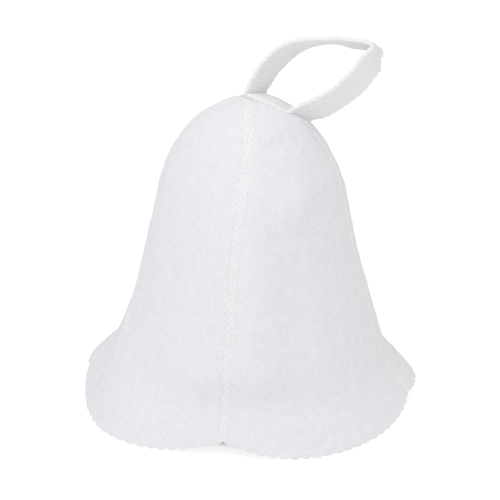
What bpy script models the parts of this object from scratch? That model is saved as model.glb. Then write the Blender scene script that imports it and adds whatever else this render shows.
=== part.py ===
"""A felt sauna hat: four gores joined edge to edge, and a felt hanging loop sewn in at the top.

Blender 4.5, metres, +Z up. The front seam runs down the -Y side and the right seam down the +X side.
The hat stands on its hem, and its origin is the middle of its box, on the surface that it stands on.

The crown is one smooth surface. SECTIONS gives its level outlines, FOLDS the creases and dents on them,
SEAMS where it is cut into gores, and LOOP the way of the strip. All the tables are in millimetres.
"""

import math

import bpy
import numpy as np

MM = 0.001

FELT = 3.0                # thickness of the felt
SEAM_GAP = 0.3            # between the butted edges of two gores
TIP_REACH = 0.5           # from the axis to a gore's tip
TIP_UPRIGHT = 0.025       # share of the side within which the gores' tips turn level
CREASE_TURN = 9.0         # degrees from the front seam to the crease that storage has left in the front
AXIS = (3.1, -3.4)        # place of the crown's axis, so that the middle of the box is the origin

SCALLOPS = 22             # in the hem of one gore
SCALLOP_DEPTH = 1.6
SCALLOP_STEPS = 4
HEM_BAND = 6.0            # of the hem that the scallops' fine edge takes
HEM_PRESS = 0.6           # by which the lowest scallops are pressed flat where the hat stands
LOBE_POWER = 2.2          # 2 would make the hem between two notches a parabola
GORE_ROWS = 15
ROW_POWER = 1.2           # over 1 sets the rows closer together at the top
FINE_STEPS = 2000         # of the tables that heights and reaches are looked up in
SHARP_ANGLE = 40.0        # degrees over which an edge is shaded sharp

# Level outlines, from the apex down: reach along the creases to the left, right, front and back,
# the lean of the axis to the right, and the power of the outline, where 2 is an ellipse.
SECTION_COLUMNS = ("height", "left", "right", "front", "back", "lean", "power")
SECTIONS = np.array((
    (221.0, 0.0, 0.0, 0.0, 0.0, -3.0, 1.80),
    (219.0, 10.0, 10.0, 10.0, 10.0, -2.2, 1.80),
    (212.0, 27.0, 27.0, 27.0, 27.0, -1.0, 1.80),
    (197.0, 46.0, 45.0, 46.0, 48.0, 0.0, 1.75),
    (172.0, 60.0, 59.5, 62.0, 65.0, 0.0, 1.70),
    (138.0, 68.0, 68.5, 75.0, 77.0, 0.0, 1.70),
    (100.0, 74.5, 76.5, 87.0, 88.0, 0.0, 1.75),
    (66.0, 84.0, 87.0, 96.0, 95.0, -1.0, 1.85),
    (38.0, 95.0, 96.5, 103.0, 104.0, -2.5, 1.95),
    (18.0, 104.5, 106.0, 110.5, 113.0, -3.5, 2.00),
    (0.0, 116.5, 119.0, 117.5, 121.0, -3.5, 2.00),
    (-8.0, 121.0, 123.5, 121.5, 125.0, -3.5, 2.00),
))

# Seams, in degrees from the front seam's foot, and the height of the notch that each makes in the hem.
SEAM_COLUMNS = ("azimuth_hem", "azimuth_top", "notch_height")
SEAMS = {
    "left": (-90.0, -85.0, 9.0),
    "front": (0.0, 7.0, 10.0),
    "right": (88.0, 95.0, 8.0),
    "back": (180.0, 187.0, 9.0),
}
SEAM_DRIFT_END = 0.55     # share of the way down by which a seam has reached its azimuth at the hem

# Creases and dents: azimuth at its top and at the hem, heights that it runs between, how far it stands
# proud (or is sunk, below 0), its spread in degrees, and its softness, where 0 is a sharp crease.
FOLD_COLUMNS = ("azimuth_top", "azimuth_hem", "from_height", "to_height", "proud", "spread", "softness")
FOLDS = {
    "front_crease": (6.0, 14.0, 215.0, 0.0, 3.6, 16.0, 0.05),
    "back_crease": (189.0, 189.0, 215.0, 10.0, 3.0, 14.0, 0.15),
    "left_crease": (-82.0, -50.0, 150.0, 0.0, 3.0, 12.0, 0.15),
    "front_notch": (0.0, 0.0, 60.0, -30.0, -11.5, 19.0, 0.60),
    "front_left_flat": (-30.5, -26.5, 70.0, -30.0, -1.0, 14.0, 1.00),
    "front_left_swell": (-46.0, -46.0, 44.0, -40.0, 5.0, 13.0, 1.00),
    "back_right_flare": (104.5, 104.5, 36.0, -40.0, 6.5, 17.0, 1.00),
    "back_left_flare": (-99.5, -99.5, 36.0, -40.0, 8.0, 10.0, 1.00),
    "back_notch": (180.0, 180.0, 60.0, -30.0, -6.0, 16.0, 0.60),
    "shoulder_dent": (62.0, 55.0, 214.0, 165.0, -3.5, 22.0, 0.80),
}
FOLD_FADE = 0.35          # share of a fold's run over which it fades at each end
FOLD_FULL_REACH = 40.0    # reach of the crown from which a fold has its full size

GORES = {
    "panel_front_left": ("left", "front"),
    "panel_front_right": ("front", "right"),
    "panel_back_right": ("right", "back"),
    "panel_back_left": ("back", "left"),
}

# The loop, from its lower end over the right shoulder, round the turn and back to the top. The near
# edge's place is to the right of the axis, back from it and up from the apex, in the crease's frame,
# and the last three columns are the way across the strip from there.
STRIP_WIDTH = 20.0
STRIP_PITCH = 4.8         # of the scallops in its edges
STRIP_SCALLOP = 0.9       # depth of those scallops
STRIP_SPANS = 4           # flat stretches across the strip
STRIP_REST = 0.4          # clearance over the crown where it lies on it
CROWN_REACH = 50.0        # from the axis, within which the strip may meet the crown
CROWN_STATION = 0.5       # share of the side that holds the crown's top
CROWN_HALVINGS = 22
LOOP_COLUMNS = ("right", "back", "up", "across_right", "across_back", "across_up")
LOOP = np.array((
    (-4.0, -1.0, 0.5, 14.5, 13.0, -3.0),
    (6.0, -6.0, -2.0, 9.0, 17.5, -4.0),
    (14.5, -8.5, -6.0, 5.5, 19.0, -6.5),
    (23.5, -8.0, -6.5, 3.5, 17.0, -11.5),
    (34.5, -8.0, -2.0, 5.0, 11.0, -17.0),
    (48.0, -12.0, 6.5, 6.5, 9.5, -16.0),
    (59.0, -15.0, 16.0, 8.0, 8.5, -15.5),
    (69.0, -17.0, 28.5, 10.0, 8.5, -14.0),
    (75.5, -17.0, 37.0, 9.5, 10.0, -13.5),
    (80.0, -15.5, 41.5, 7.0, 15.5, -10.0),
    (76.0, -12.0, 43.0, 4.0, 17.0, -9.0),
    (68.0, -7.0, 43.0, 1.0, 17.0, -11.0),
    (55.0, -3.0, 42.5, 0.5, 17.0, -8.5),
    (38.0, 0.0, 41.5, 0.5, 14.5, -9.5),
    (25.0, 1.0, 38.5, 4.5, 12.5, -12.0),
    (13.0, 1.0, 31.0, 6.0, 10.0, -12.0),
    (3.5, 1.0, 20.0, 9.0, 9.5, -9.5),
    (-1.0, 0.0, 12.0, 11.0, 10.5, -7.5),
    (-3.0, -0.5, 7.0, 12.5, 12.0, -4.0),
    (-4.0, -0.5, 4.5, 14.0, 13.0, -2.5),
))

# Colour, roughness and the metallic value of the felt.
FELT_COLOUR = (0.86, 0.87, 0.87, 1.0)
FELT_ROUGHNESS = 0.95


def clear_scene():
    for old in list(bpy.data.objects):
        bpy.data.objects.remove(old, do_unlink=True)


def smooth(x):
    """0 below 0, 1 above 1, and an easy step between."""
    x = np.clip(x, 0.0, 1.0)
    return x * x * (3.0 - 2.0 * x)


def wrapped(angle):
    """The same angle between -180 and 180 degrees."""
    return (np.asarray(angle, float) + 180.0) % 360.0 - 180.0


def unit(vectors):
    return vectors / np.linalg.norm(vectors, axis=-1, keepdims=True)


def column(table, columns, name):
    """One named column of a table or of a row."""
    return table[..., columns.index(name)]


def spline_rows(knots, rows, at):
    """Natural cubic spline through the rows of a table, read at the places given."""
    gaps = np.diff(knots)
    count = len(knots)
    system = np.eye(count)
    change = np.zeros_like(rows)
    for i in range(1, count - 1):
        system[i, i - 1] = gaps[i - 1]
        system[i, i] = 2.0 * (gaps[i - 1] + gaps[i])
        system[i, i + 1] = gaps[i]
        change[i] = 6.0 * ((rows[i + 1] - rows[i]) / gaps[i] - (rows[i] - rows[i - 1]) / gaps[i - 1])
    bends = np.linalg.solve(system, change)
    at = np.asarray(at, float)
    i = np.clip(np.searchsorted(knots, at) - 1, 0, count - 2)
    gap = gaps[i][..., None]
    before = (knots[i + 1] - at)[..., None] / gap
    after = 1.0 - before
    bent = (before**3 - before) * bends[i] + (after**3 - after) * bends[i + 1]
    return before * rows[i] + after * rows[i + 1] + bent * gap**2 / 6.0


def lengths_along(points):
    """Distance from the first point to each point."""
    steps = np.linalg.norm(np.diff(points, axis=0), axis=1)
    return np.concatenate([[0.0], np.cumsum(steps)])


def side_profile():
    """Mean reach and height of each section: the hat's side, seen flat."""
    reaches = [column(SECTIONS, SECTION_COLUMNS, name) for name in ("left", "right", "front", "back")]
    return np.stack([np.mean(reaches, axis=0), column(SECTIONS, SECTION_COLUMNS, "height")], axis=1)


SLANTS = lengths_along(side_profile())
SLANT = SLANTS[-1]        # length of the side, from the apex to the last section
FINE_STATIONS = np.linspace(0.0, 1.0, FINE_STEPS + 1)


def section(station):
    """The outline's columns at a share of the way down the side."""
    return np.moveaxis(spline_rows(SLANTS / SLANT, SECTIONS, station), -1, 0)


FINE_HEIGHTS = section(FINE_STATIONS)[0]


def station_at(height):
    return np.interp(-np.asarray(height, float), -FINE_HEIGHTS, FINE_STATIONS)


def fold_relief(azimuth, height, reach):
    """How far the creases and dents move the surface out."""
    relief = np.zeros(azimuth.shape)
    for top, hem, start, end, proud, spread, softness in FOLDS.values():
        share = np.clip((start - height) / (start - end), 0.0, 1.0)
        centre = top + (hem - top) * share**2
        away = wrapped(azimuth - centre) / spread
        form = np.exp(softness - np.sqrt(away**2 + softness**2))
        relief += proud * form * smooth(share / FOLD_FADE) * smooth((1.0 - share) / FOLD_FADE)
    return relief * smooth(reach / FOLD_FULL_REACH)


def outer_point(azimuth, station):
    """A point of the hat's outer face, in millimetres from its axis and its floor."""
    azimuth, station = np.broadcast_arrays(np.asarray(azimuth, float), np.asarray(station, float))
    height, left, right, front, back, lean, power = section(station)
    turned = np.radians(azimuth - CREASE_TURN)
    sine = np.sin(turned)
    cosine = np.cos(turned)
    across = np.maximum(np.where(sine < 0.0, left, right), 1e-6)
    along = np.maximum(np.where(cosine > 0.0, front, back), 1e-6)
    reach = (np.abs(sine / across) ** power + np.abs(cosine / along) ** power) ** (-1.0 / power)
    reach = reach + fold_relief(azimuth, height, reach)
    turn = math.radians(CREASE_TURN)
    angle = np.radians(azimuth)
    x = reach * np.sin(angle) + lean * math.cos(turn)
    y = -reach * np.cos(angle) + lean * math.sin(turn)
    return np.stack([x, y, height], axis=-1)


def outward(azimuth, station):
    """The outer face's normal, from two short steps along it."""
    turn_step = 0.5
    down_step = 0.002
    station = np.maximum(station, 2.0 * down_step)
    round_way = outer_point(azimuth + turn_step, station) - outer_point(azimuth - turn_step, station)
    down_way = outer_point(azimuth, station + down_step) - outer_point(azimuth, station - down_step)
    normal = unit(np.cross(down_way, round_way))
    upright = 1.0 - smooth(station / TIP_UPRIGHT)[..., None]
    return unit(normal * (1.0 - upright) + upright * np.array((0.0, 0.0, 1.0)))


def seam_azimuth(seam, station):
    hem, top, _ = SEAMS[seam]
    return hem + (top - hem) * (1.0 - smooth(np.asarray(station) / SEAM_DRIFT_END))


def reach_at(azimuth, station):
    """Distance from the leaning axis, which a seam's half gap is turned into degrees with."""
    lean = section(station)[SECTION_COLUMNS.index("lean")]
    turn = math.radians(CREASE_TURN)
    point = outer_point(azimuth, station)
    return np.hypot(point[..., 0] - lean * math.cos(turn), point[..., 1] - lean * math.sin(turn))


def gore_azimuth(gore, share, station):
    """Azimuth at a share of the way across a gore, whose edges keep half the gap from their seams."""
    first, second = GORES[gore]
    start = seam_azimuth(first, station)
    end = seam_azimuth(second, station)
    end = start + (end - start) % 360.0
    half_gap = np.degrees(np.arcsin(0.5 * SEAM_GAP / np.maximum(reach_at(start, station), SEAM_GAP)))
    start = start + half_gap
    end = end - half_gap
    return start + (end - start) * share


def hem_height(gore, share):
    """Height of a gore's hem, which hangs as a lobe between the notches at its seams."""
    first, second = GORES[gore]
    notch = SEAMS[first][2] + (SEAMS[second][2] - SEAMS[first][2]) * share
    return notch * np.abs(2.0 * share - 1.0) ** LOBE_POWER - HEM_PRESS


def scallop(turns):
    """Round bumps with a sharp nick between them, 0 at a nick and 1 at a bump."""
    return np.abs(np.sin(math.pi * np.asarray(turns)))


def wall_points(azimuth, station):
    """The outer and the inner face at one place, kept above the floor."""
    outer = outer_point(azimuth, station)
    inner = outer - FELT * outward(azimuth, station)
    for face in (outer, inner):
        face[..., 2] = np.maximum(face[..., 2], 0.0)
    return outer, inner


def gore_faces(rows, columns, steps):
    """Faces of one skin: a fan at the tip, squares below it, and a fine fringe along the hem."""
    faces = [(0, 1 + i + 1, 1 + i) for i in range(columns)]
    for j in range(rows - 1):
        above = 1 + j * (columns + 1)
        below = above + columns + 1
        for i in range(columns):
            faces.append((above + i, above + i + 1, below + i + 1, below + i))
    above = 1 + (rows - 1) * (columns + 1)
    hem = above + columns + 1
    for i in range(columns):
        first = hem + i * steps
        middle = first + steps // 2
        for k in range(first, middle):
            faces.append((above + i, k + 1, k))
        faces.append((above + i, above + i + 1, middle))
        for k in range(middle, first + steps):
            faces.append((above + i + 1, k + 1, k))
    return faces


def gore_rim(rows, columns, steps):
    """The skin's outline as one ring of points, from the tip down the first seam and round."""
    left = [1 + j * (columns + 1) for j in range(rows)]
    right = [start + columns for start in left]
    hem = 1 + rows * (columns + 1)
    return [0] + left + list(range(hem, hem + columns * steps + 1)) + right[::-1]


def make_gore(name):
    share = np.linspace(0.0, 1.0, SCALLOPS + 1)
    fine = np.linspace(0.0, 1.0, SCALLOPS * SCALLOP_STEPS + 1)
    tip_station = station_at(FINE_HEIGHTS[0] - 0.01)
    band_top = station_at(hem_height(name, share)) - HEM_BAND / SLANT
    hem = station_at(hem_height(name, fine))
    hem = hem - SCALLOP_DEPTH / SLANT * (1.0 - scallop(fine * SCALLOPS))
    tip_azimuth = np.array([gore_azimuth(name, 0.5, tip_station)])
    reaches = reach_at(tip_azimuth, FINE_STATIONS)
    tip_station = np.array([np.interp(TIP_REACH, reaches, FINE_STATIONS)])
    tables = [(tip_azimuth, tip_station)]
    for j in range(1, GORE_ROWS + 1):
        station = band_top * (j / GORE_ROWS) ** ROW_POWER
        tables.append((gore_azimuth(name, share, station), station))
    tables.append((gore_azimuth(name, fine, hem), hem))
    outer, inner = zip(*(wall_points(azimuth, station) for azimuth, station in tables))
    points = np.concatenate(outer + inner)
    count = len(points) // 2
    skin = gore_faces(GORE_ROWS, SCALLOPS, SCALLOP_STEPS)
    rim = gore_rim(GORE_ROWS, SCALLOPS, SCALLOP_STEPS)
    faces = [tuple(reversed(face)) for face in skin]
    faces += [tuple(k + count for k in face) for face in skin]
    for a, b in zip(rim, rim[1:] + rim[:1]):
        faces.append((b, a, a + count, b + count))
    return points, faces


def crown_height(points):
    """Height of the crown's outer face under points near its top, found by halving."""
    low = np.zeros(points.shape[:-1])
    high = np.full(points.shape[:-1], CROWN_STATION)
    turn = math.radians(CREASE_TURN)
    for _ in range(CROWN_HALVINGS):
        middle = 0.5 * (low + high)
        lean = section(middle)[SECTION_COLUMNS.index("lean")]
        right = points[..., 0] - lean * math.cos(turn)
        back = points[..., 1] - lean * math.sin(turn)
        within = reach_at(np.degrees(np.arctan2(right, -back)), middle) < np.hypot(right, back)
        low = np.where(within, middle, low)
        high = np.where(within, high, middle)
    return section(low)[0]


def crease_frame(vectors):
    """Vectors given to the right, back and up of the crease, in the hat's own directions."""
    turn = math.radians(CREASE_TURN)
    right = vectors[:, 0:1] * np.array((math.cos(turn), math.sin(turn), 0.0))
    back = vectors[:, 1:2] * np.array((-math.sin(turn), math.cos(turn), 0.0))
    return right + back + vectors[:, 2:3] * np.array((0.0, 0.0, 1.0))


def strip_way():
    """The loop's near edge, and the ways across and through the strip, at even steps."""
    places = crease_frame(LOOP[:, :3]) + np.array((0.0, 0.0, SECTIONS[0, 0]))
    knots = lengths_along(places)
    steps = round(knots[-1] / STRIP_PITCH) * SCALLOP_STEPS
    at = np.linspace(0.0, knots[-1], steps + 1)
    way = spline_rows(knots, np.hstack([places, crease_frame(LOOP[:, 3:])]), at)
    edge = way[:, :3]
    along = unit(np.gradient(edge, axis=0))
    across = way[:, 3:]
    across = unit(across - (across * along).sum(axis=1, keepdims=True) * along)
    return edge, across, np.cross(along, across)


def make_loop():
    edge, across, through = strip_way()
    steps = len(edge) - 1
    share = np.linspace(0.0, 1.0, STRIP_SPANS + 1)
    nick = STRIP_SCALLOP * (1.0 - scallop(np.arange(steps + 1) / SCALLOP_STEPS))
    inset = nick[:, None] * ((share == 0.0) * 1.0 - (share == 1.0) * 1.0)
    places = edge[:, None, :] + across[:, None, :] * (share * STRIP_WIDTH + inset)[..., None]
    through = through[:, None, :]
    under = places - through * FELT / 2.0
    near_crown = np.hypot(under[..., 0], under[..., 1]) < CROWN_REACH
    lift = np.where(near_crown, crown_height(under) + STRIP_REST - under[..., 2], 0.0)
    lift = np.maximum(lift, 0.0)[..., None] * np.array((0.0, 0.0, 1.0))
    ring = np.concatenate([under + lift, (under + lift + through * FELT)[:, ::-1]], axis=1)
    sides = ring.shape[1]
    points = ring.reshape(-1, 3)
    faces = []
    for j in range(steps):
        for i in range(sides):
            a = j * sides + i
            b = j * sides + (i + 1) % sides
            faces.append((a, b, b + sides, a + sides))
    faces.append(tuple(reversed(range(sides))))
    faces.append(tuple(range(steps * sides, (steps + 1) * sides)))
    return points, faces


def felt_material(name):
    material = bpy.data.materials.new(name)
    material.use_nodes = True
    shader = material.node_tree.nodes["Principled BSDF"]
    shader.inputs["Base Color"].default_value = FELT_COLOUR
    shader.inputs["Roughness"].default_value = FELT_ROUGHNESS
    shader.inputs["Metallic"].default_value = 0.0
    return material


def add_piece(name, points, faces):
    """One closed solid, in a node of its own."""
    placed = (points + np.array((AXIS[0], AXIS[1], 0.0))) * MM
    mesh = bpy.data.meshes.new(name)
    mesh.from_pydata(placed.tolist(), [], faces)
    mesh.validate()
    mesh.shade_smooth()
    mesh.set_sharp_from_angle(angle=math.radians(SHARP_ANGLE))
    mesh.materials.append(felt_material(name + "_felt"))
    piece = bpy.data.objects.new(name, mesh)
    bpy.context.scene.collection.objects.link(piece)
    return piece


def main():
    clear_scene()
    for name in GORES:
        add_piece(name, *make_gore(name))
    add_piece("hanging_loop", *make_loop())


main()
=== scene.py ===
"""The looks of a felt sauna hat: four gores of white wool felt, their zigzag seams and the loop.

Blender 4.5. The tables and the shapes are in millimetres, from the crown's axis and the floor that the
hat stands on. add_mesh puts them in metres, in the frame's place.
"""

import math

import bpy
import numpy as np
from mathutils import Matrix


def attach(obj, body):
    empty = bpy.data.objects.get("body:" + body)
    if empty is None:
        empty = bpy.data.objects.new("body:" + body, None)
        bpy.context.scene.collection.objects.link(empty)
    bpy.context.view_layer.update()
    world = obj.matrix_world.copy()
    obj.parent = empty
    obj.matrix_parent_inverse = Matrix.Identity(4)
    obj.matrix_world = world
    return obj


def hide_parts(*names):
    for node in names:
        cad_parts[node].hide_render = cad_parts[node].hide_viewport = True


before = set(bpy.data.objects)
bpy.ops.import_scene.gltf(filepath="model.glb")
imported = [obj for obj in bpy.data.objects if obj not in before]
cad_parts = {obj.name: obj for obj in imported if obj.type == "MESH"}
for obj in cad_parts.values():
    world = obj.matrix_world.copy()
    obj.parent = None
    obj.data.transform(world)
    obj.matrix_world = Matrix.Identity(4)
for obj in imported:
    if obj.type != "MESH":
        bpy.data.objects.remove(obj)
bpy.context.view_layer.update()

MM = 0.001

# The crown, its creases, its seams and the strip's way, as the solids have them, but for one value of
# the strip at its turn and the depth of its scallops.
FELT = 3.0                # thickness of the felt
TIP_REACH = 0.5           # from the axis to a gore's tip
TIP_UPRIGHT = 0.025       # share of the side within which the gores' tips turn level
CREASE_TURN = 9.0         # degrees from the front seam to the crease that storage has left in the front
AXIS = (3.1, -3.4)        # place of the crown's axis in the frame

SCALLOPS = 22             # in the hem of one gore
SCALLOP_DEPTH = 1.6
SCALLOP_PITCH = 8.4
HEM_BAND = 6.0            # of the hem that the scallops' fine edge takes
HEM_PRESS = 0.6           # by which the lowest scallops are pressed flat where the hat stands
LOBE_POWER = 2.2          # 2 would make the hem between two notches a parabola
LEAST_REACH = 1e-6        # of a section, so that the apex can be divided by it
STATION_STEPS = 2000      # of the side, where heights are looked up
TURN_STEP = 0.5           # degrees either way, from which the face's slant is worked out
DOWN_STEP = 0.002         # and the share of the side

# Level outlines, from the apex down: reach along the creases to the left, right, front and back,
# the lean of the axis to the right, and the power of the outline, where 2 is an ellipse.
SECTION_COLUMNS = ("height", "left", "right", "front", "back", "lean", "power")
SECTIONS = np.array((
    (221.0, 0.0, 0.0, 0.0, 0.0, -3.0, 1.80),
    (219.0, 10.0, 10.0, 10.0, 10.0, -2.2, 1.80),
    (212.0, 27.0, 27.0, 27.0, 27.0, -1.0, 1.80),
    (197.0, 46.0, 45.0, 46.0, 48.0, 0.0, 1.75),
    (172.0, 60.0, 59.5, 62.0, 65.0, 0.0, 1.70),
    (138.0, 68.0, 68.5, 75.0, 77.0, 0.0, 1.70),
    (100.0, 74.5, 76.5, 87.0, 88.0, 0.0, 1.75),
    (66.0, 84.0, 87.0, 96.0, 95.0, -1.0, 1.85),
    (38.0, 95.0, 96.5, 103.0, 104.0, -2.5, 1.95),
    (18.0, 104.5, 106.0, 110.5, 113.0, -3.5, 2.00),
    (0.0, 116.5, 119.0, 117.5, 121.0, -3.5, 2.00),
    (-8.0, 121.0, 123.5, 121.5, 125.0, -3.5, 2.00),
))

# Seams, in degrees from the front seam's foot, and the height of the notch that each makes in the hem.
SEAM_COLUMNS = ("azimuth_hem", "azimuth_top", "notch_height")
SEAMS = {
    "left": (-90.0, -85.0, 9.0),
    "front": (0.0, 7.0, 10.0),
    "right": (88.0, 95.0, 8.0),
    "back": (180.0, 187.0, 9.0),
}
SEAM_DRIFT_END = 0.55     # share of the way down by which a seam has reached its azimuth at the hem

# Creases and dents: azimuth at its top and at the hem, heights that it runs between, how far it stands
# proud (or is sunk, below 0), its spread in degrees, and its softness, where 0 is a sharp crease.
FOLD_COLUMNS = ("azimuth_top", "azimuth_hem", "from_height", "to_height", "proud", "spread", "softness")
FOLDS = {
    "front_crease": (6.0, 14.0, 215.0, 0.0, 3.6, 16.0, 0.05),
    "back_crease": (189.0, 189.0, 215.0, 10.0, 3.0, 14.0, 0.15),
    "left_crease": (-82.0, -50.0, 150.0, 0.0, 3.0, 12.0, 0.15),
    "front_notch": (0.0, 0.0, 60.0, -30.0, -11.5, 19.0, 0.60),
    "front_left_flat": (-30.5, -26.5, 70.0, -30.0, -1.0, 14.0, 1.00),
    "front_left_swell": (-46.0, -46.0, 44.0, -40.0, 5.0, 13.0, 1.00),
    "back_right_flare": (104.5, 104.5, 36.0, -40.0, 6.5, 17.0, 1.00),
    "back_left_flare": (-99.5, -99.5, 36.0, -40.0, 8.0, 10.0, 1.00),
    "back_notch": (180.0, 180.0, 60.0, -30.0, -6.0, 16.0, 0.60),
    "shoulder_dent": (62.0, 55.0, 214.0, 165.0, -3.5, 22.0, 0.80),
}
FOLD_FADE = 0.35          # share of a fold's run over which it fades at each end
FOLD_FULL_REACH = 40.0    # reach of the crown from which a fold has its full size

GORES = {
    "front_left": ("left", "front"),
    "front_right": ("front", "right"),
    "back_right": ("right", "back"),
    "back_left": ("back", "left"),
}

# The loop, from its lower end over the right shoulder, round the turn and back to the top. The near
# edge's place is to the right of the axis, back from it and up from the apex, in the crease's frame,
# and the last three columns are the way across the strip from there. At the turn, in the tenth row, that
# way goes 1 mm less to the right than the solid's.
STRIP_WIDTH = 20.0
STRIP_PITCH = 4.8         # of the scallops in its edges
STRIP_SCALLOP = 0.7       # depth of those scallops, which is 0.9 in the solid
STRIP_TUCK = 2.4          # by which its upper end goes down into the seams
STRIP_SINK = 0.4          # by which its own weight and the thread press it into the crown
STRIP_DRAPE = 5.0         # over the crown, within which it is drawn down to the felt
CROWN_REACH = 50.0        # from the axis, within which the strip may meet the crown
CROWN_STATION = 0.5       # share of the side that holds the crown's top
CROWN_HALVINGS = 22
LOOP_COLUMNS = ("right", "back", "up", "across_right", "across_back", "across_up")
LOOP = np.array((
    (-4.0, -1.0, 0.5, 14.5, 13.0, -3.0),
    (6.0, -6.0, -2.0, 9.0, 17.5, -4.0),
    (14.5, -8.5, -6.0, 5.5, 19.0, -6.5),
    (23.5, -8.0, -6.5, 3.5, 17.0, -11.5),
    (34.5, -8.0, -2.0, 5.0, 11.0, -17.0),
    (48.0, -12.0, 6.5, 6.5, 9.5, -16.0),
    (59.0, -15.0, 16.0, 8.0, 8.5, -15.5),
    (69.0, -17.0, 28.5, 10.0, 8.5, -14.0),
    (75.5, -17.0, 37.0, 9.5, 10.0, -13.5),
    (80.0, -15.5, 41.5, 6.0, 15.5, -10.0),
    (76.0, -12.0, 43.0, 4.0, 17.0, -9.0),
    (68.0, -7.0, 43.0, 1.0, 17.0, -11.0),
    (55.0, -3.0, 42.5, 0.5, 17.0, -8.5),
    (38.0, 0.0, 41.5, 0.5, 14.5, -9.5),
    (25.0, 1.0, 38.5, 4.5, 12.5, -12.0),
    (13.0, 1.0, 31.0, 6.0, 10.0, -12.0),
    (3.5, 1.0, 20.0, 9.0, 9.5, -9.5),
    (-1.0, 0.0, 12.0, 11.0, 10.5, -7.5),
    (-3.0, -0.5, 7.0, 12.5, 12.0, -4.0),
    (-4.0, -0.5, 4.5, 14.0, 13.0, -2.5),
))

# How fine the felt's mesh is.
COLUMNS_PER_SCALLOP = 10
GORE_ROWS = 168
EDGE_STEPS = (0.25, 0.8)          # extra rows and columns, this far in from the cut edges
HEM_STEPS = (1.6, 2.6, 3.8)       # and these in the hem alone
STRIP_STEPS_PER_SCALLOP = 12
STRIP_SIDES = 14                  # points across each face of the strip
STRIP_CROWDING = 0.65             # share by which these points crowd towards its edges

# The felt's fine form.
EDGE_ROUND = 0.9          # radius of the soft edge that the felt was cut to
SEAM_ROUND = 0.1          # and where two edges are sewn together
STRIP_ROUND = 0.35        # and along the strip
CUT_REACH = 0.9           # from a cut edge, over which the faces take its colour
EDGE_BULGE = 0.3          # how far the middle of a cut edge stands out
RIM_STEPS = (0.2, 0.5, 0.8)       # shares of the felt's thickness where its cut edges have points
SEAM_CLOSE = 0.02         # between butted edges, which the thread draws together
WAVES = (11, 10.0, 46.0, 26)      # seed, shortest and longest wave, and how many: the hand-made uneven face
WAVE_HEIGHT = 0.16
RIPPLES = (12, 2.6, 8.0, 34)
RIPPLE_HEIGHT = 0.035

# Wrinkles, swells and hollows that the solids leave out: the place and size of each, the slope of its
# length in degrees, and how far it stands proud, or is sunk below 0.
WRINKLE_COLUMNS = ("azimuth", "height", "length", "width", "slope", "proud")
WRINKLES = {
    "left_crumple": (-38.0, 112.0, 11.0, 3.0, -25.0, -0.7),
    "left_crumple_ridge": (-39.0, 107.0, 12.0, 3.5, -25.0, 0.4),
    "left_crease_line": (-68.5, 52.0, 32.0, 3.0, -78.0, 0.8),
    "left_crease_foot": (-62.5, 20.0, 14.0, 3.0, -60.0, 0.6),
    "shoulder_swell": (40.0, 165.0, 20.0, 15.0, 60.0, 3.0),
    "loop_pull": (36.0, 200.0, 18.0, 7.0, -15.0, -2.2),
    "loop_seat": (92.0, 206.0, 9.0, 6.0, 0.0, 1.3),
    "front_right_hollow": (28.0, 95.0, 60.0, 16.0, 90.0, -2.3),
    "band_below_swell": (26.0, 146.0, 30.0, 6.0, 8.0, -0.5),
}

# The seams' zigzag, of three stitches to each stroke.
STITCH_REACH = 3.5        # from the seam to the outer row of needle holes
STITCH_PERIOD = 5.2       # along the seam, from one stroke to the next like it
STITCHES_PER_STROKE = 3
THREAD_RADIUS = 0.3
THREAD_RISE = 0.30        # of the middle stitch of a stroke over the felt
THREAD_SUNK = 0.02        # and of the outer ones, which the felt's hairs half cover
THREAD_DIP = 0.45         # of its ends into the needle holes
THREAD_STEPS = 5
THREAD_SIDES = 6
THREAD_ASIDE = (0.13, 0.21, 0.97)     # a way that no stitch runs in, which its section is turned from
STITCH_PRESS = 0.35       # by which the stitches press the felt down
STITCH_FADE = 1.6         # width of the slope beside the pressed band
STITCH_START = 9.0        # from the apex to the first stitch
STITCH_END = 0.6          # from the last stitch to the hem
SEAM_STEPS = 600          # of the line that a seam's length is measured on
HOLE_ROWS = ((-1.0, 0.5), (1.0, 0.0))     # side of the seam, and share of a period that it is ahead
FAR_FROM_SEAMS = 50.0     # given to the strip, which has no seam of its own

# Colours: the light and the dark of the felt's mottling, and its cut edge.
FELT_COLOURS = ((0.84, 0.845, 0.872, 1.0), (0.78, 0.785, 0.812, 1.0), (0.90, 0.90, 0.87, 1.0))
# The loop's felt is a little lighter than the crown's: painted light that lifts the shade on the loop's
# inner face. Its cut edge is a little darker.
STRIP_PAINTED_LIGHT_COLOURS = ((0.845, 0.85, 0.86, 1.0), (0.81, 0.815, 0.825, 1.0), (0.88, 0.88, 0.845, 1.0))
THREAD_COLOURS = ((0.90, 0.895, 0.86, 1.0), (0.95, 0.95, 0.925, 1.0))
# Painted shade in the needle holes: its colour, and the share of it laid in the middle of each hole.
HOLE_SHADE_COLOUR = (0.40, 0.41, 0.43, 1.0)
HOLE_SHADE_SHARE = 0.3          # of that colour in the middle of a needle hole
HOLE_RADIUS = 0.5
HOLE_SOFT = 0.35          # width of the soft edge of a needle hole
BUTT_REACH = (0.5, 1.5)   # from a seam, where the cut edges' colour begins to fade and where it ends
BUTT_SHARE = 0.6          # of that colour on the seam itself

# The felt's surface. Each noise is the size of its blotches, its detail and its roughness, and each
# relief is a height and a strength.
BLOTCH_NOISE = (5.0, 3.0, 0.55)
MATTING_NOISE = (1.5, 4.0, 0.65)
HAIR_NOISE = (0.35, 3.0, 0.6)
BLOTCH_SHARE = 0.3        # of the mottling, which is matting for the rest
MOTTLE_RANGE = (0.34, 0.66)
BLOTCH_RELIEF = (0.5, 0.25)
MATTING_RELIEF = (0.4, 0.7)
HAIR_RELIEF = (0.12, 0.8)
HOLE_RELIEF = (0.5, 0.3)
FELT_ROUGHNESS = 0.95
FELT_SPECULAR = 0.15
FELT_SHEEN = 0.05
FELT_SHEEN_ROUGHNESS = 0.6

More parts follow.
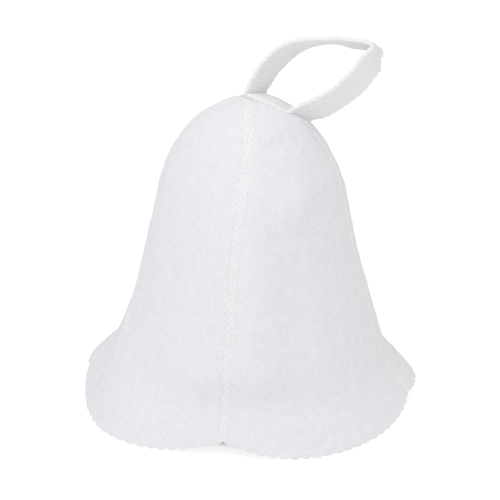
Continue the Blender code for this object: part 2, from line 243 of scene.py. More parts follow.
# The thread's surface.
TWIST_NOISE = (0.25, 2.0, 0.5)
TWIST_STRETCH = (1.0, 1.0, 0.4)
TWIST_RANGE = (0.35, 0.65)
TWIST_RELIEF = (0.08, 0.6)
THREAD_ROUGHNESS = 0.6
THREAD_SHEEN = 0.2

# The floor, the strength of its glow, and the radii within which it doesn't glow, a painted shadow where
# the hat is over it, and beyond which it glows fully.
FLOOR_REACH = 6000.0
FLOOR_COLOUR = (0.25, 0.25, 0.25, 1.0)
FLOOR_GLOW = 0.82
FLOOR_SHADOW_REACH = 82.0
FLOOR_LIT = 96.0

# The studio's light. Azimuths are from the front, in degrees. The key light is a square panel, whose
# strength is given at the hat's middle, and the fill light is a wide sun.
LAMP_DISTANCE = 1400.0    # from the hat's middle
KEY_AZIMUTH = -34.0
KEY_ELEVATION = 50.0
KEY_SIDE = 1200.0
KEY_STRENGTH = 1.05
KEY_COLOUR = (0.97, 0.985, 1.0)
FILL_AZIMUTH = 70.0
FILL_ELEVATION = 70.0
FILL_SPREAD = 80.0
FILL_STRENGTH = 0.92
FILL_COLOUR = (1.0, 0.99, 0.975)
SKY_STRENGTH = 0.52

# Camera, at the photograph's angle. The frame of the photograph is 500 pixels wide.
VIEW_AZIMUTH = 9.0
VIEW_ELEVATION = 24.0
VIEW_DISTANCE = 1400.0
VIEW_AT_HEIGHT = 110.0
VIEW_OFF_RIGHT = -1.0
VIEW_OFF_UP = -2.3
FRAME_WIDTH = 350.0       # that the view takes in at the hat
SENSOR = 36.0             # width of the camera's sensor
CLIP_NEAR = 50.0
CLIP_FAR = 50000.0


def smooth(x):
    """0 below 0, 1 above 1, and an easy step between."""
    x = np.clip(x, 0.0, 1.0)
    return x * x * (3.0 - 2.0 * x)


def wrapped(angle):
    """The same angle between -180 and 180 degrees."""
    return (np.asarray(angle, float) + 180.0) % 360.0 - 180.0


def unit(vectors):
    return vectors / np.linalg.norm(vectors, axis=-1, keepdims=True)


def column(table, columns, name):
    """One named column of a table."""
    return table[..., columns.index(name)]


def named(columns, row):
    """A row's values by the names of their columns."""
    return dict(zip(columns, row))


def spline_rows(knots, rows, at):
    """Natural cubic spline through the rows of a table, read at the places given."""
    gaps = np.diff(knots)
    count = len(knots)
    system = np.eye(count)
    change = np.zeros_like(rows)
    for i in range(1, count - 1):
        system[i, i - 1] = gaps[i - 1]
        system[i, i] = 2.0 * (gaps[i - 1] + gaps[i])
        system[i, i + 1] = gaps[i]
        change[i] = 6.0 * ((rows[i + 1] - rows[i]) / gaps[i] - (rows[i] - rows[i - 1]) / gaps[i - 1])
    bends = np.linalg.solve(system, change)
    at = np.asarray(at, float)
    i = np.clip(np.searchsorted(knots, at) - 1, 0, count - 2)
    gap = gaps[i][..., None]
    before = (knots[i + 1] - at)[..., None] / gap
    after = 1.0 - before
    bent = (before**3 - before) * bends[i] + (after**3 - after) * bends[i + 1]
    return before * rows[i] + after * rows[i + 1] + bent * gap**2 / 6.0


def lengths_along(points):
    """Distance from the first point to each point."""
    steps = np.linalg.norm(np.diff(points, axis=0), axis=1)
    return np.concatenate([[0.0], np.cumsum(steps)])


def side_profile():
    """Mean reach and height of each section: the hat's side, seen flat."""
    reaches = [column(SECTIONS, SECTION_COLUMNS, name) for name in ("left", "right", "front", "back")]
    return np.stack([np.mean(reaches, axis=0), column(SECTIONS, SECTION_COLUMNS, "height")], axis=1)


SLANTS = lengths_along(side_profile())
SLANT = SLANTS[-1]        # length of the side, from the apex to the last section
APEX_HEIGHT = column(SECTIONS, SECTION_COLUMNS, "height")[0]
FINE_STATIONS = np.linspace(0.0, 1.0, STATION_STEPS + 1)


def section(station):
    """The outline's columns at a share of the way down the side."""
    return np.moveaxis(spline_rows(SLANTS / SLANT, SECTIONS, station), -1, 0)


def height_at(station):
    return section(station)[SECTION_COLUMNS.index("height")]


def lean_at(station):
    """How far to the right and back the leaning axis has moved."""
    lean = section(station)[SECTION_COLUMNS.index("lean")]
    turn = math.radians(CREASE_TURN)
    return lean * math.cos(turn), lean * math.sin(turn)


FINE_HEIGHTS = height_at(FINE_STATIONS)


def station_at(height):
    return np.interp(-np.asarray(height, float), -FINE_HEIGHTS, FINE_STATIONS)


def fold_relief(azimuth, height, reach):
    """How far the creases and dents move the surface out."""
    relief = np.zeros(azimuth.shape)
    for row in FOLDS.values():
        fold = named(FOLD_COLUMNS, row)
        top = fold["azimuth_top"]
        start = fold["from_height"]
        softness = fold["softness"]
        share = np.clip((start - height) / (start - fold["to_height"]), 0.0, 1.0)
        centre = top + (fold["azimuth_hem"] - top) * share**2
        away = wrapped(azimuth - centre) / fold["spread"]
        form = np.exp(softness - np.sqrt(away**2 + softness**2))
        relief += fold["proud"] * form * smooth(share / FOLD_FADE) * smooth((1.0 - share) / FOLD_FADE)
    return relief * smooth(reach / FOLD_FULL_REACH)


def outer_point(azimuth, station):
    """A point of the hat's outer face, in millimetres from its axis and its floor."""
    azimuth, station = np.broadcast_arrays(np.asarray(azimuth, float), np.asarray(station, float))
    height, left, right, front, back, lean, power = section(station)
    turned = np.radians(azimuth - CREASE_TURN)
    sine = np.sin(turned)
    cosine = np.cos(turned)
    across = np.maximum(np.where(sine < 0.0, left, right), LEAST_REACH)
    along = np.maximum(np.where(cosine > 0.0, front, back), LEAST_REACH)
    reach = (np.abs(sine / across) ** power + np.abs(cosine / along) ** power) ** (-1.0 / power)
    reach = reach + fold_relief(azimuth, height, reach)
    turn = math.radians(CREASE_TURN)
    angle = np.radians(azimuth)
    x = reach * np.sin(angle) + lean * math.cos(turn)
    y = -reach * np.cos(angle) + lean * math.sin(turn)
    return np.stack([x, y, height], axis=-1)


def outward(azimuth, station):
    """The outer face's normal, from two short steps along it."""
    station = np.maximum(station, 2.0 * DOWN_STEP)
    round_way = outer_point(azimuth + TURN_STEP, station) - outer_point(azimuth - TURN_STEP, station)
    down_way = outer_point(azimuth, station + DOWN_STEP) - outer_point(azimuth, station - DOWN_STEP)
    normal = unit(np.cross(down_way, round_way))
    upright = 1.0 - smooth(station / TIP_UPRIGHT)[..., None]
    return unit(normal * (1.0 - upright) + upright * np.array((0.0, 0.0, 1.0)))


def seam_azimuth(seam, station):
    row = named(SEAM_COLUMNS, SEAMS[seam])
    hem = row["azimuth_hem"]
    return hem + (row["azimuth_top"] - hem) * (1.0 - smooth(np.asarray(station) / SEAM_DRIFT_END))


def notch_height(seam):
    return named(SEAM_COLUMNS, SEAMS[seam])["notch_height"]


def reach_at(azimuth, station):
    """Distance of the outer face from the leaning axis."""
    lean_right, lean_back = lean_at(station)
    point = outer_point(azimuth, station)
    return np.hypot(point[..., 0] - lean_right, point[..., 1] - lean_back)


def gore_azimuth(gore, share, station):
    """Azimuth at a share of the way across a gore."""
    first, second = GORES[gore]
    start = seam_azimuth(first, station)
    end = seam_azimuth(second, station)
    end = start + (end - start) % 360.0
    half_gap = np.degrees(np.arcsin(0.5 * SEAM_CLOSE / np.maximum(reach_at(start, station), SEAM_CLOSE)))
    start = start + half_gap
    end = end - half_gap
    return start + (end - start) * share


def hem_height(gore, share):
    """Height of a gore's hem, which hangs as a lobe between the notches at its seams."""
    first, second = GORES[gore]
    notch = notch_height(first) + (notch_height(second) - notch_height(first)) * share
    return notch * np.abs(2.0 * share - 1.0) ** LOBE_POWER - HEM_PRESS


def scallop(turns):
    """Round bumps with a sharp nick between them, 0 at a nick and 1 at a bump."""
    return np.abs(np.sin(math.pi * np.asarray(turns)))


def waves(points, seed, shortest, longest, count):
    """Gentle unevenness, about -2 to 2, that is the same at the same place."""
    draw = np.random.default_rng(seed)
    total = np.zeros(points.shape[:-1])
    for _ in range(count):
        length = shortest * (longest / shortest) ** draw.random()
        way = unit(draw.normal(size=3))
        total += np.sin(points @ way * (2.0 * math.pi / length) + draw.uniform(0.0, 2.0 * math.pi))
    return total * math.sqrt(2.0 / count)


def wrinkle_relief(azimuth, points):
    """How far the wrinkles move points of the outer face out."""
    relief = np.zeros(azimuth.shape)
    reach = np.hypot(points[..., 0], points[..., 1])
    for row in WRINKLES.values():
        wrinkle = named(WRINKLE_COLUMNS, row)
        across = np.radians(wrapped(azimuth - wrinkle["azimuth"])) * reach
        up = points[..., 2] - wrinkle["height"]
        turn = math.radians(wrinkle["slope"])
        along = (across * math.cos(turn) + up * math.sin(turn)) / wrinkle["length"]
        away = (up * math.cos(turn) - across * math.sin(turn)) / wrinkle["width"]
        relief += wrinkle["proud"] * np.exp(-(along**2) - away**2)
    return relief


def felt_face(azimuth, station):
    """The outer face with the felt's own unevenness, and its normal."""
    points = outer_point(azimuth, station)
    normal = outward(azimuth, station)
    lift = wrinkle_relief(azimuth, points)
    lift = lift + WAVE_HEIGHT * waves(points, *WAVES) + RIPPLE_HEIGHT * waves(points, *RIPPLES)
    return points + normal * lift[..., None], normal


def edge_sink(away, radius):
    """How far a face drops to the felt's soft cut edge."""
    left = np.clip(1.0 - away / radius, 0.0, 1.0)
    return radius * (1.0 - np.sqrt(1.0 - left**2))


def stitch_sink(away):
    """How far the stitches press a face down beside a seam."""
    return STITCH_PRESS * smooth((STITCH_REACH - away) / STITCH_FADE + 0.5)


class Seam:
    """A seam's line down the outer face, and how far each station lies along it."""

    def __init__(self, name):
        self.name = name
        foot = station_at(notch_height(name) - HEM_PRESS)
        self.stations = np.linspace(0.0, foot, SEAM_STEPS)
        self.lengths = lengths_along(outer_point(seam_azimuth(name, self.stations), self.stations))

    def along(self, station):
        return np.interp(station, self.stations, self.lengths)

    def station(self, along):
        return np.interp(along, self.lengths, self.stations)

    def face(self, along, across, inside):
        """A point beside the seam, on the outer or the inner face, and the outward normal there."""
        station = self.station(along)
        azimuth = seam_azimuth(self.name, station)
        swing = outer_point(azimuth + TURN_STEP, station) - outer_point(azimuth - TURN_STEP, station)
        azimuth = azimuth + across * 2.0 * TURN_STEP / np.linalg.norm(swing, axis=-1)
        points, normal = felt_face(azimuth, station)
        sink = stitch_sink(np.abs(across))
        depth = np.where(inside, FELT - sink, sink)
        return points - normal * depth[..., None], normal


SEAM_LINES = {name: Seam(name) for name in SEAMS}


def grid_lengths(grid, axis):
    """Lengths along the rows or the columns of a grid of points, from each one's start."""
    steps = np.linalg.norm(np.diff(grid, axis=axis), axis=-1)
    lengths = np.zeros(grid.shape[:2])
    if axis == 0:
        lengths[1:] = np.cumsum(steps, axis=0)
    else:
        lengths[:, 1:] = np.cumsum(steps, axis=1)
    return lengths


def gore_grid(gore):
    """Azimuth and station of each point of a gore's mesh, in rows from its tip to its hem."""
    columns = SCALLOPS * COLUMNS_PER_SCALLOP
    hem_station = station_at(0.0)
    near = np.array(EDGE_STEPS) / (SCALLOPS * SCALLOP_PITCH)
    share = np.union1d(np.linspace(0.0, 1.0, columns + 1), np.concatenate([near, 1.0 - near]))
    close = 1.0 - np.array(EDGE_STEPS + HEM_STEPS) / SLANT
    fall = np.union1d(np.linspace(0.0, 1.0, GORE_ROWS + 1), close)
    hem = station_at(hem_height(gore, share))
    nick = SCALLOP_DEPTH / SLANT * (1.0 - scallop(share * SCALLOPS))
    band = smooth((fall * hem_station - hem_station + HEM_BAND / SLANT) / (HEM_BAND / SLANT))
    middle = gore_azimuth(gore, 0.5, FINE_STATIONS)
    tip = np.interp(TIP_REACH, reach_at(middle, FINE_STATIONS), FINE_STATIONS)
    station = tip + fall[:, None] * (hem[None, :] - tip) - band[:, None] * nick[None, :]
    azimuth = gore_azimuth(gore, share[None, :], station)
    return azimuth, station


def rim_ring(rows, columns):
    """Indices of a grid's edge, from its first corner down, along the hem and up again."""
    down = [j * columns for j in range(rows - 1)]
    hem = [(rows - 1) * columns + i for i in range(columns - 1)]
    up = [j * columns + columns - 1 for j in range(rows - 1, 0, -1)]
    top = list(range(columns - 1, 0, -1))
    return np.array(down + hem + up + top)


def grid_faces(rows, columns):
    """Faces of a grid of points, whose front is seen with the first row up and the first column left."""
    start = (np.arange(rows - 1)[:, None] * columns + np.arange(columns - 1)[None, :]).ravel()
    return np.stack([start, start + columns, start + columns + 1, start + 1], axis=1)


def gore_rim(outer, inner):
    """Rings of points round a gore's cut edges, between its outer and its inner face."""
    rows, columns = outer.shape[:2]
    ring = rim_ring(rows, columns)
    outer_ring = outer.reshape(-1, 3)[ring]
    inner_ring = inner.reshape(-1, 3)[ring]
    hem = slice(rows - 1, rows - 1 + columns)
    out_way = np.zeros_like(outer_ring)
    out_way[hem] = unit(outer[-1] - outer[-3])
    rings = []
    for share in RIM_STEPS:
        bulge = EDGE_BULGE * math.sin(math.pi * share)
        between = outer_ring + (inner_ring - outer_ring) * share + out_way * bulge
        between[:, 2] = np.maximum(between[:, 2], 0.0)
        rings.append(between)
    return rings


def gore_faces(rows, columns):
    """Faces of a gore's outer side, of its inner side and of the rim between them."""
    ring = rim_ring(rows, columns)
    count = rows * columns
    faces = [grid_faces(rows, columns), grid_faces(rows, columns)[:, ::-1] + count]
    rings = [ring]
    rings += [2 * count + k * len(ring) + np.arange(len(ring)) for k in range(len(RIM_STEPS))]
    rings.append(ring + count)
    for over, under in zip(rings, rings[1:]):
        after_over = np.roll(over, -1)
        after_under = np.roll(under, -1)
        faces.append(np.stack([over, under, after_under, after_over], axis=1))
    return np.concatenate(faces).tolist()


def gore_attribute(values, rim_values):
    """Values for a gore's outer and inner points, and for each ring of its rim."""
    return np.concatenate([values.ravel(), values.ravel()] + [rim_values] * len(RIM_STEPS))


def gore_flat(face):
    """A gore's cut size: its width just over the scallops, its length and its area."""
    cell = np.cross(face[1:, 1:] - face[:-1, :-1], face[1:, :-1] - face[:-1, 1:])
    over_scallops = int(len(face) * (1.0 - HEM_BAND / SLANT)) - len(HEM_STEPS)
    width = grid_lengths(face, 1)[over_scallops, -1]
    length = grid_lengths(face, 0)[-1].max()
    return width, length, 0.5 * np.linalg.norm(cell, axis=-1).sum()


def make_gore(gore):
    """Points, faces, point attributes and the cut size of one gore."""
    azimuth, station = gore_grid(gore)
    face, normal = felt_face(azimuth, station)
    across = grid_lengths(face, 1)
    width = across[:, -1:]
    down = grid_lengths(face, 0)
    hem_away = down[-1:] - down
    seam_away = np.minimum(across, width - across)
    sink = np.maximum(edge_sink(seam_away, SEAM_ROUND), edge_sink(hem_away, EDGE_ROUND))
    sink = sink + stitch_sink(seam_away)
    outer = face - normal * sink[..., None]
    inner = face - normal * (FELT - sink)[..., None]
    for skin in (outer, inner):
        skin[..., 2] = np.maximum(skin[..., 2], 0.0)
    points = np.concatenate([outer.reshape(-1, 3), inner.reshape(-1, 3)] + gore_rim(outer, inner))

    first, second = GORES[gore]
    in_first = across < width / 2.0
    along = np.where(in_first, SEAM_LINES[first].along(station), SEAM_LINES[second].along(station))
    side = np.where(in_first, seam_away, -seam_away)
    cut = np.maximum(1.0 - hem_away / CUT_REACH, 0.0)
    ring = rim_ring(*azimuth.shape)
    attributes = {
        "seam_across": gore_attribute(side, side.ravel()[ring]),
        "seam_along": gore_attribute(along, along.ravel()[ring]),
        "cut_edge": gore_attribute(cut, np.ones(len(ring))),
    }
    return points, gore_faces(*azimuth.shape), attributes, gore_flat(face)


def crease_frame(vectors):
    """Vectors given to the right, back and up of the crease, in the hat's own directions."""
    turn = math.radians(CREASE_TURN)
    right = vectors[:, 0:1] * np.array((math.cos(turn), math.sin(turn), 0.0))
    back = vectors[:, 1:2] * np.array((-math.sin(turn), math.cos(turn), 0.0))
    return right + back + vectors[:, 2:3] * np.array((0.0, 0.0, 1.0))


def strip_way():
    """The loop's near edge, and the ways across and through the strip, at even steps."""
    first_way = LOOP_COLUMNS.index("across_right")
    places = crease_frame(LOOP[:, :first_way]) + np.array((0.0, 0.0, APEX_HEIGHT))
    knots = lengths_along(places)
    length = knots[-1] + STRIP_TUCK
    steps = round(length / STRIP_PITCH) * STRIP_STEPS_PER_SCALLOP
    at = np.linspace(0.0, length, steps + 1)
    way = spline_rows(knots, np.hstack([places, crease_frame(LOOP[:, first_way:])]), at)
    edge = way[:, :3]
    along = unit(np.gradient(edge, axis=0))
    across = way[:, 3:]
    across = unit(across - (across * along).sum(axis=1, keepdims=True) * along)
    return edge, across, np.cross(along, across)


def crown_height(points):
    """Height of the crown's outer face under points near its top, found by halving."""
    low = np.zeros(points.shape[:-1])
    high = np.full(points.shape[:-1], CROWN_STATION)
    for _ in range(CROWN_HALVINGS):
        middle = 0.5 * (low + high)
        lean_right, lean_back = lean_at(middle)
        right = points[..., 0] - lean_right
        back = points[..., 1] - lean_back
        within = reach_at(np.degrees(np.arctan2(right, -back)), middle) < np.hypot(right, back)
        low = np.where(within, middle, low)
        high = np.where(within, high, middle)
    return height_at(low)


def strip_lift(under):
    """How far up the strip is moved from its way, so that it lies on the felt near the crown's top."""
    near_crown = np.hypot(under[..., 0], under[..., 1]) < CROWN_REACH
    below = crown_height(under) - STRIP_SINK - under[..., 2]
    return np.where(near_crown, below * (1.0 - smooth(-below / STRIP_DRAPE)), 0.0)


def strip_outline():
    """Places round the strip's section: share of the way across, and share of its thickness."""
    even = np.linspace(0.0, 1.0, STRIP_SIDES)
    share = even + (0.5 - 0.5 * np.cos(math.pi * even) - even) * STRIP_CROWDING
    under = [(x, 0.0) for x in share]
    over = [(x, 1.0) for x in share[::-1]]
    far = [(1.0, z) for z in RIM_STEPS]
    near = [(0.0, z) for z in reversed(RIM_STEPS)]
    return np.array(under + far + over + near)


def tube_faces(tubes, rings, sides):
    """Faces of closed tubes of the same number of rings of points, with a flat face at each end."""
    first = (np.arange(tubes)[:, None] * rings + np.arange(rings - 1)[None, :])[..., None] * sides
    i = np.arange(sides)
    after = (i + 1) % sides
    faces = np.stack([first + i, first + after, first + after + sides, first + i + sides], axis=-1)
    faces = faces.reshape(-1, 4).tolist()
    for k in range(tubes):
        start = k * rings * sides
        faces.append(list(reversed(range(start, start + sides))))
        faces.append(list(range(start + (rings - 1) * sides, start + rings * sides)))
    return faces


def make_strip():
    """Points, faces, point attributes and the cut size of the hanging loop."""
    edge, across, through = strip_way()
    rings = len(edge)
    outline = strip_outline()
    share = outline[None, :, 0]
    level = outline[None, :, 1]
    nick = STRIP_SCALLOP * (1.0 - scallop(np.arange(rings) / STRIP_STEPS_PER_SCALLOP))[:, None]
    away = np.minimum(share, 1.0 - share) * STRIP_WIDTH
    edge_share = smooth(1.0 - away / HEM_BAND)
    inset = nick * edge_share * np.where(share < 0.5, 1.0, -1.0)
    place = share * STRIP_WIDTH + inset
    bulge = EDGE_BULGE * np.sin(math.pi * level) * np.where(share < 0.5, -1.0, 1.0)
    place = place + bulge * ((share == 0.0) | (share == 1.0))
    on_face = (level == 0.0) | (level == 1.0)
    sink = edge_sink(away, STRIP_ROUND) * np.where(level < 0.5, 1.0, -1.0) * on_face
    depth = (level - 0.5) * FELT + sink
    middle = edge[:, None, :] + across[:, None, :] * place[..., None]
    under = middle - through[:, None, :] * FELT / 2.0
    lift = strip_lift(under)[..., None] * np.array((0.0, 0.0, 1.0))
    uneven = WAVE_HEIGHT * waves(middle, *WAVES) + RIPPLE_HEIGHT * waves(middle, *RIPPLES)
    points = middle + lift + through[:, None, :] * (depth + uneven)[..., None]
    cut = np.broadcast_to(np.maximum(1.0 - away / CUT_REACH, 0.0), points.shape[:2]).ravel()
    attributes = {
        "seam_across": np.full(cut.shape, FAR_FROM_SEAMS),
        "seam_along": np.zeros(cut.shape),
        "cut_edge": cut,
    }
    length = lengths_along(edge + across * STRIP_WIDTH / 2.0)[-1]
    flat = (STRIP_WIDTH, length, STRIP_WIDTH * length)
    return points.reshape(-1, 3), tube_faces(1, rings, len(outline)), attributes, flat


def tube(paths, radius, sides):
    """Points and faces of a closed thread round each of many paths of the same number of points."""
    along = unit(np.gradient(paths, axis=1))
    side = unit(np.cross(along, np.array(THREAD_ASIDE)))
    top = np.cross(side, along)
    turn = np.linspace(0.0, 2.0 * math.pi, sides, endpoint=False)
    ring = side[:, :, None] * np.cos(turn)[:, None] + top[:, :, None] * np.sin(turn)[:, None]
    points = paths[:, :, None] + ring * radius
    return points.reshape(-1, 3), tube_faces(*paths.shape[:2], sides)


def make_stitches(seam):
    """The thread of one seam, on its outer and its inner face."""
    line = SEAM_LINES[seam]
    pitch = STITCH_PERIOD / (2 * STITCHES_PER_STROKE)
    count = int((line.lengths[-1] - STITCH_START - STITCH_END) / pitch)
    k = np.arange(count + 1)
    along = STITCH_START + k * pitch
    turn = (k / STITCHES_PER_STROKE) % 2.0
    across = STITCH_REACH * np.where(turn < 1.0, 2.0 * turn - 1.0, 3.0 - 2.0 * turn)
    share = np.linspace(0.0, 1.0, THREAD_STEPS + 1)
    crossing = k[:-1] % STITCHES_PER_STROKE == STITCHES_PER_STROKE // 2
    top = np.where(crossing, THREAD_RISE, THREAD_SUNK)[:, None]
    rise = (top + THREAD_DIP) * np.sin(math.pi * share) - THREAD_DIP
    paths = []
    for inside in (False, True):
        v = along[:-1, None] + pitch * share
        u = across[:-1, None] + np.diff(across)[:, None] * share
        face, normal = line.face(v, u, inside)
        paths.append(face + normal * (-rise if inside else rise)[..., None])
    return tube(np.concatenate(paths), THREAD_RADIUS, THREAD_SIDES)


class Shading:
    """A material's nodes, made with one short call each."""

    def __init__(self, name):
        self.material = bpy.data.materials.new(name)
        self.material.use_nodes = True
        self.tree = self.material.node_tree
        self.shader = self.tree.nodes["Principled BSDF"]
        self.place = self.tree.nodes.new("ShaderNodeTexCoord").outputs["Object"]

    def put(self, socket, value):
        if isinstance(value, bpy.types.NodeSocket):
            self.tree.links.new(value, socket)
        else:
            socket.default_value = value

    def math(self, operation, *values):
        node = self.tree.nodes.new("ShaderNodeMath")
        node.operation = operation
        for socket, value in zip(node.inputs, values):
            self.put(socket, value)
        return node.outputs["Value"]

    def attribute(self, name):
        node = self.tree.nodes.new("ShaderNodeAttribute")
        node.attribute_name = name
        return node.outputs["Fac"]

    def noise(self, size, detail, roughness, stretch=None):
        """Noise whose blotches are about the size given, in millimetres."""
        node = self.tree.nodes.new("ShaderNodeTexNoise")
        node.inputs["Scale"].default_value = 1.0 / (size * MM)
        node.inputs["Detail"].default_value = detail
        node.inputs["Roughness"].default_value = roughness
        place = self.place
        if stretch is not None:
            mapping = self.tree.nodes.new("ShaderNodeMapping")
            mapping.inputs["Scale"].default_value = stretch
            self.tree.links.new(place, mapping.inputs["Vector"])
            place = mapping.outputs["Vector"]
        self.tree.links.new(place, node.inputs["Vector"])
        return node.outputs["Fac"]

    def step(self, value, low, high):
        """0 below low, 1 above high, smooth between."""
        node = self.tree.nodes.new("ShaderNodeMapRange")
        node.interpolation_type = "SMOOTHSTEP"
        self.put(node.inputs["Value"], value)
        node.inputs["From Min"].default_value = low
        node.inputs["From Max"].default_value = high
        return node.outputs["Result"]

    def mix(self, share, first, second):
        node = self.tree.nodes.new("ShaderNodeMix")
        node.data_type = "RGBA"
        self.put(node.inputs["Factor"], share)
        self.put(node.inputs["A"], first)
        self.put(node.inputs["B"], second)
        return node.outputs["Result"]

    def bump(self, height, distance, strength, normal=None):
        """Relief whose height is a share of the distance, which is in millimetres."""
        node = self.tree.nodes.new("ShaderNodeBump")
        node.inputs["Distance"].default_value = distance * MM
        node.inputs["Strength"].default_value = strength
        self.tree.links.new(height, node.inputs["Height"])
        if normal is not None:
            self.tree.links.new(normal, node.inputs["Normal"])
        return node.outputs["Normal"]


def needle_holes(look):
    """1 at the zigzag's outer needle holes, which alternate on the two sides of the seam."""
    across = look.attribute("seam_across")
    stitched = look.math("SUBTRACT", look.attribute("seam_along"), STITCH_START)
    turns = look.math("DIVIDE", stitched, STITCH_PERIOD)
    holes = None
    for side, phase in HOLE_ROWS:
        off = look.math("SUBTRACT", look.math("FRACT", look.math("ADD", turns, phase)), 0.5)
        off = look.math("MULTIPLY", off, STITCH_PERIOD)
        aside = look.math("SUBTRACT", across, side * STITCH_REACH)
        squares = look.math("ADD", look.math("POWER", off, 2.0), look.math("POWER", aside, 2.0))
        far = look.math("SQRT", squares)
        holes = far if holes is None else look.math("MINIMUM", holes, far)
    felt = look.step(holes, HOLE_RADIUS - HOLE_SOFT, HOLE_RADIUS + HOLE_SOFT)
    return look.math("SUBTRACT", 1.0, felt)


def felt_look(name, light, shade, edge):
    """White wool felt: matt, finely matted, faintly blotched, with cream cut edges and painted shade in its
    needle holes.
    """
    look = Shading(name)
    blotch = look.noise(*BLOTCH_NOISE)
    matting = look.noise(*MATTING_NOISE)
    hairs = look.noise(*HAIR_NOISE)
    blotch_part = look.math("MULTIPLY", blotch, BLOTCH_SHARE)
    mottle = look.math("ADD", blotch_part, look.math("MULTIPLY", matting, 1.0 - BLOTCH_SHARE))
    colour = look.mix(look.step(mottle, *MOTTLE_RANGE), shade, light)
    seam_far = look.math("ABSOLUTE", look.attribute("seam_across"))
    butt = look.math("SUBTRACT", 1.0, look.step(seam_far, *BUTT_REACH))
    cream = look.math("MAXIMUM", look.attribute("cut_edge"), look.math("MULTIPLY", butt, BUTT_SHARE))
    colour = look.mix(cream, colour, edge)
    holes = needle_holes(look)
    # painted shade in the needle holes
    colour = look.mix(look.math("MULTIPLY", holes, HOLE_SHADE_SHARE), colour, HOLE_SHADE_COLOUR)
    look.put(look.shader.inputs["Base Color"], colour)
    look.shader.inputs["Roughness"].default_value = FELT_ROUGHNESS
    look.shader.inputs["Specular IOR Level"].default_value = FELT_SPECULAR
    look.shader.inputs["Sheen Weight"].default_value = FELT_SHEEN
    look.shader.inputs["Sheen Roughness"].default_value = FELT_SHEEN_ROUGHNESS
    normal = look.bump(blotch, *BLOTCH_RELIEF)
    normal = look.bump(matting, *MATTING_RELIEF, normal)
    normal = look.bump(hairs, *HAIR_RELIEF, normal)
    normal = look.bump(look.math("SUBTRACT", 1.0, holes), *HOLE_RELIEF, normal)
    look.put(look.shader.inputs["Normal"], normal)
    return look.material


def thread_look():
    """Cream sewing thread, with its twist as fine slanting bands."""
    look = Shading("sewing_thread")
    twist = look.noise(*TWIST_NOISE, stretch=TWIST_STRETCH)
    colour = look.mix(look.step(twist, *TWIST_RANGE), *THREAD_COLOURS)
    look.put(look.shader.inputs["Base Color"], colour)
    look.shader.inputs["Roughness"].default_value = THREAD_ROUGHNESS
    look.shader.inputs["Sheen Weight"].default_value = THREAD_SHEEN
    look.put(look.shader.inputs["Normal"], look.bump(twist, *TWIST_RELIEF))
    return look.material


def add_mesh(name, points, faces, material, attributes=None):
    """A piece that rides with the hat, put in metres in the frame's place."""
    placed = (points + np.array((AXIS[0], AXIS[1], 0.0))) * MM
    mesh = bpy.data.meshes.new(name)
    mesh.from_pydata(placed.tolist(), [], faces)
    mesh.shade_smooth()
    for key, values in (attributes or {}).items():
        mesh.attributes.new(key, "FLOAT", "POINT").data.foreach_set("value", values.astype(np.float32))
    mesh.materials.append(material)
    piece = bpy.data.objects.new(name, mesh)
    bpy.context.scene.collection.objects.link(piece)
    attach(piece, "root")
    return piece


def make_hat():
    felt = felt_look("white_felt", *FELT_COLOURS)
    # the loop's felt, painted a little lighter than the crown's to lift the shade on its inner face
    strip_felt_painted_light = felt_look("strip_felt_painted_light", *STRIP_PAINTED_LIGHT_COLOURS)
    thread = thread_look()
    for seam in SEAMS:
        points, faces = make_stitches(seam)
        add_mesh("stitches_" + seam, points, faces, thread)
    for gore in GORES:
        points, faces, attributes, flat = make_gore(gore)
        piece = add_mesh("felt_" + gore, points, faces, felt, attributes)
        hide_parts("panel_" + gore)
    points, faces, attributes, flat = make_strip()
    piece = add_mesh("felt_loop", points, faces, strip_felt_painted_light, attributes)
    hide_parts("hanging_loop")


def make_floor():
    """A floor to the horizon, which its own glow makes white, except under the hat, where the glow is left
    out as a painted shadow.
    """
    mesh = bpy.data.meshes.new("floor")
    corners = [(-1.0, -1.0, 0.0), (1.0, -1.0, 0.0), (1.0, 1.0, 0.0), (-1.0, 1.0, 0.0)]
    points = [[FLOOR_REACH * value * MM for value in corner] for corner in corners]
    mesh.from_pydata(points, [], [(0, 1, 2, 3)])
    floor = bpy.data.objects.new("floor", mesh)
    bpy.context.scene.collection.objects.link(floor)
    look = Shading("white_floor")
    away = look.tree.nodes.new("ShaderNodeVectorMath")
    away.operation = "LENGTH"
    look.tree.links.new(look.place, away.inputs[0])
    open_floor = look.step(away.outputs["Value"], FLOOR_SHADOW_REACH * MM, FLOOR_LIT * MM)
    look.shader.inputs["Base Color"].default_value = FLOOR_COLOUR
    look.shader.inputs["Roughness"].default_value = 1.0
    look.shader.inputs["Specular IOR Level"].default_value = 0.0
    look.shader.inputs["Emission Color"].default_value = (1.0, 1.0, 1.0, 1.0)
    look.put(look.shader.inputs["Emission Strength"], look.math("MULTIPLY", open_floor, FLOOR_GLOW))
    mesh.materials.append(look.material)


def way_from(azimuth, elevation):
    """The way from the hat to a lamp or the camera, with azimuth 0 in front."""
    azimuth = math.radians(azimuth)
    elevation = math.radians(elevation)
    level = math.cos(elevation)
    return np.array((math.sin(azimuth) * level, -math.cos(azimuth) * level, math.sin(elevation)))


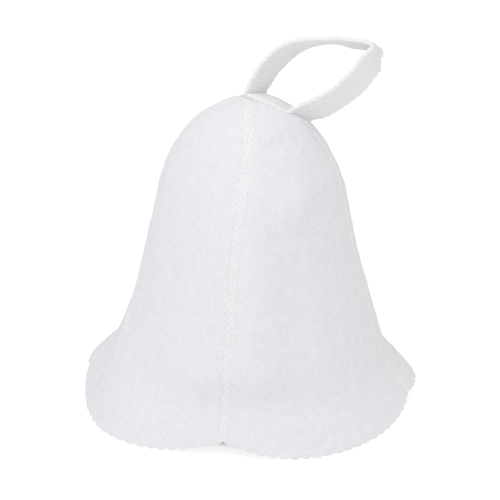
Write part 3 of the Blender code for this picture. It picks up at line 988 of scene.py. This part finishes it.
def add_light(name, kind, azimuth, elevation, colour):
    """A light that shines from the azimuth and elevation given on the hat's middle."""
    light = bpy.data.lights.new(name, kind)
    light.color = colour
    lamp = bpy.data.objects.new(name, light)
    middle = np.array((AXIS[0], AXIS[1], VIEW_AT_HEIGHT))
    lamp.location = (middle + way_from(azimuth, elevation) * LAMP_DISTANCE) * MM
    lamp.rotation_euler = (math.radians(90.0 - elevation), 0.0, math.radians(azimuth))
    bpy.context.scene.collection.objects.link(lamp)
    return light


def light_studio():
    world = bpy.data.worlds.new("white_studio")
    world.use_nodes = True
    background = world.node_tree.nodes["Background"]
    background.inputs["Color"].default_value = (1.0, 1.0, 1.0, 1.0)
    background.inputs["Strength"].default_value = SKY_STRENGTH
    bpy.context.scene.world = world
    key = add_light("key", "AREA", KEY_AZIMUTH, KEY_ELEVATION, KEY_COLOUR)
    key.size = KEY_SIDE * MM
    key.energy = KEY_STRENGTH * math.pi * (LAMP_DISTANCE * MM) ** 2
    fill = add_light("fill", "SUN", FILL_AZIMUTH, FILL_ELEVATION, FILL_COLOUR)
    fill.angle = math.radians(FILL_SPREAD)
    fill.energy = FILL_STRENGTH


def set_tones():
    """Plain sRGB, so that white felt before a white floor keeps its small differences."""
    view = bpy.context.scene.view_settings
    view.view_transform = "Standard"
    view.look = "None"
    view.exposure = 0.0
    view.gamma = 1.0


def place_camera():
    azimuth = math.radians(VIEW_AZIMUTH)
    back = way_from(VIEW_AZIMUTH, VIEW_ELEVATION)
    right = np.array((math.cos(azimuth), math.sin(azimuth), 0.0))
    up = np.cross(back, right)
    target = np.array((AXIS[0], AXIS[1], VIEW_AT_HEIGHT)) + right * VIEW_OFF_RIGHT + up * VIEW_OFF_UP
    data = bpy.data.cameras.new("camera")
    data.sensor_width = SENSOR
    data.lens = SENSOR * VIEW_DISTANCE / FRAME_WIDTH
    data.clip_start = CLIP_NEAR * MM
    data.clip_end = CLIP_FAR * MM
    camera = bpy.data.objects.new("camera", data)
    camera.location = (target + back * VIEW_DISTANCE) * MM
    camera.rotation_euler = (math.radians(90.0 - VIEW_ELEVATION), 0.0, azimuth)
    bpy.context.scene.collection.objects.link(camera)
    bpy.context.scene.camera = camera


set_tones()
place_camera()
make_floor()
light_studio()
make_hat()
